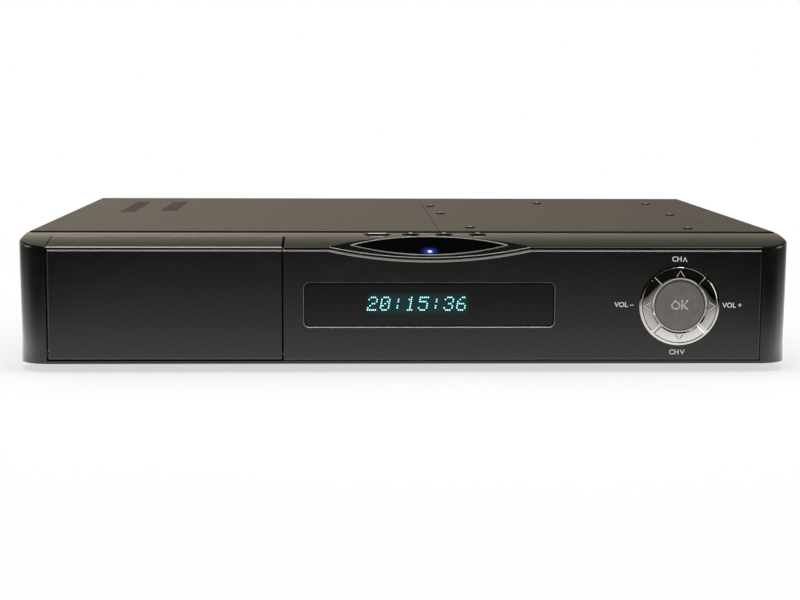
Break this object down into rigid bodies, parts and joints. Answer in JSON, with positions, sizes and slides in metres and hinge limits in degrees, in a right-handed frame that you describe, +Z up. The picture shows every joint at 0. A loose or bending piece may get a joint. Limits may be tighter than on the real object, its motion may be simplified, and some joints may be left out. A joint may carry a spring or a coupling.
{
  "type": "satellite tv receiver",
  "caption": "Low desktop set-top receiver: sheet-metal case with drive lid, gloss black fascia with flap door, display window, status lens and round key pad, rear connector panel.",
  "frame": {"origin": "centre of the bounding box in plan, on the surface that the feet stand on", "axes": "+X to the right seen from the front, +Y to the back, +Z up"},
  "size_m": [0.362, 0.2865, 0.0643],
  "materials": {
    "capacitor_sleeve": "sleeved",
    "chip_epoxy": "moulded epoxy",
    "chrome_plastic": "dark chrome",
    "circuit_board": "solder-mask green",
    "cover_paint": "satin warm black paint",
    "display_glass": "gloss",
    "drive_casting": "cast and machined",
    "ferrite": "ferrite and tape",
    "foot_rubber": "moulded",
    "galvanised_sheet": "zinc-plated sheet",
    "gloss_black_plastic": "high gloss",
    "heat_sink_metal": "extruded",
    "indicator": "clear",
    "magnet_block": "moulded",
    "matte_black_plastic": "fine matte",
    "phono_plastic": "moulded",
    "plated_metal": "nickel plated",
    "screw_black": "black zinc",
    "smoked_window": "smoked gloss"
  },
  "bodies": {
    "root": {"antenna_connectors": "plated_metal", "base_pan": "galvanised_sheet", "board_chips": "chip_epoxy", "card_readers": "matte_black_plastic", "case_screws": "screw_black", "display_module": "display_glass", "display_window": "smoked_window", "door_catch": "magnet_block", "door_pins": "plated_metal", "drive_bracket": "galvanised_sheet", "drive_lid": "cover_paint", "fan_frame": "matte_black_plastic", "front_bezel": "gloss_black_plastic", "front_board": "circuit_board", "front_panel": "gloss_black_plastic", "hard_drive": "drive_casting", "hdmi_port": "plated_metal", "heat_sinks": "heat_sink_metal", "infrared_receiver": "matte_black_plastic", "key_frame": "chrome_plastic", "lens_rim": "chrome_plastic", "lid_screws": "screw_black", "main_board": "circuit_board", "mains_inlet": "matte_black_plastic", "mains_switch_body": "matte_black_plastic", "module_cage_lower": "galvanised_sheet", "module_cage_upper": "galvanised_sheet", "network_port": "plated_metal", "optical_port": "matte_black_plastic", "phono_sockets": "phono_plastic", "power_board": "circuit_board", "power_capacitors": "capacitor_sleeve", "power_transformer": "ferrite", "rear_panel": "galvanised_sheet", "rubber_feet": "foot_rubber", "scart_sockets": "matte_black_plastic", "serial_port": "plated_metal", "slot_plate": "matte_black_plastic", "status_led": "indicator", "status_lens": "smoked_window", "tact_switches": "chip_epoxy", "top_cover": "cover_paint", "top_key_board": "circuit_board", "tuner_cans": "galvanised_sheet", "usb_ports": "plated_metal"},
    "door": {"flap_door": "gloss_black_plastic", "door_strike": "plated_metal"},
    "standby_button": {"standby_button": "chrome_plastic"},
    "menu_button": {"menu_button": "chrome_plastic"},
    "exit_button": {"exit_button": "chrome_plastic"},
    "mode_button": {"mode_button": "chrome_plastic"},
    "up_key": {"up_key": "chrome_plastic"},
    "down_key": {"down_key": "chrome_plastic"},
    "left_key": {"left_key": "chrome_plastic"},
    "right_key": {"right_key": "chrome_plastic"},
    "ok_key": {"ok_key": "chrome_plastic"},
    "module_ejector_lower": {"module_ejector_lower": "matte_black_plastic"},
    "module_ejector_upper": {"module_ejector_upper": "matte_black_plastic"},
    "mains_rocker": {"mains_rocker": "matte_black_plastic"},
    "fan_rotor": {"fan_rotor": "matte_black_plastic"}
  },
  "joints": [
    {"name": "door_hinge", "type": "hinge", "parent": "root", "child": "door", "pos_m": [-0.11215, -0.13955, 0.0087], "axis": [1, 0, 0], "range_deg": [0, 90]},
    {"name": "standby_button_press", "type": "slide", "parent": "root", "child": "standby_button", "axis": [0, 0, -1], "range_m": [0, 0.0005], "stiffness_N_per_m": 800},
    {"name": "menu_button_press", "type": "slide", "parent": "root", "child": "menu_button", "axis": [0, 0, -1], "range_m": [0, 0.0005], "stiffness_N_per_m": 800},
    {"name": "exit_button_press", "type": "slide", "parent": "root", "child": "exit_button", "axis": [0, 0, -1], "range_m": [0, 0.0005], "stiffness_N_per_m": 800},
    {"name": "mode_button_press", "type": "slide", "parent": "root", "child": "mode_button", "axis": [0, 0, -1], "range_m": [0, 0.0005], "stiffness_N_per_m": 800},
    {"name": "up_key_press", "type": "slide", "parent": "root", "child": "up_key", "axis": [0, 1, 0], "range_m": [0, 0.0006], "stiffness_N_per_m": 800},
    {"name": "down_key_press", "type": "slide", "parent": "root", "child": "down_key", "axis": [0, 1, 0], "range_m": [0, 0.0006], "stiffness_N_per_m": 800},
    {"name": "left_key_press", "type": "slide", "parent": "root", "child": "left_key", "axis": [0, 1, 0], "range_m": [0, 0.0006], "stiffness_N_per_m": 800},
    {"name": "right_key_press", "type": "slide", "parent": "root", "child": "right_key", "axis": [0, 1, 0], "range_m": [0, 0.0006], "stiffness_N_per_m": 800},
    {"name": "ok_key_press", "type": "slide", "parent": "root", "child": "ok_key", "axis": [0, 1, 0], "range_m": [0, 0.0006], "stiffness_N_per_m": 800},
    {"name": "module_ejector_lower_push", "type": "slide", "parent": "root", "child": "module_ejector_lower", "axis": [0, 1, 0], "range_m": [0, 0.005]},
    {"name": "module_ejector_upper_push", "type": "slide", "parent": "root", "child": "module_ejector_upper", "axis": [0, 1, 0], "range_m": [0, 0.005]},
    {"name": "mains_rocker_tip", "type": "hinge", "parent": "root", "child": "mains_rocker", "pos_m": [-0.126, 0.13025, 0.024], "axis": [0, 0, 1], "range_deg": [-16, 0]},
    {"name": "fan_spin", "type": "hinge", "parent": "root", "child": "fan_rotor", "pos_m": [-0.09, 0.12625, 0.034], "axis": [0, 1, 0], "continuous": true}
  ]
}
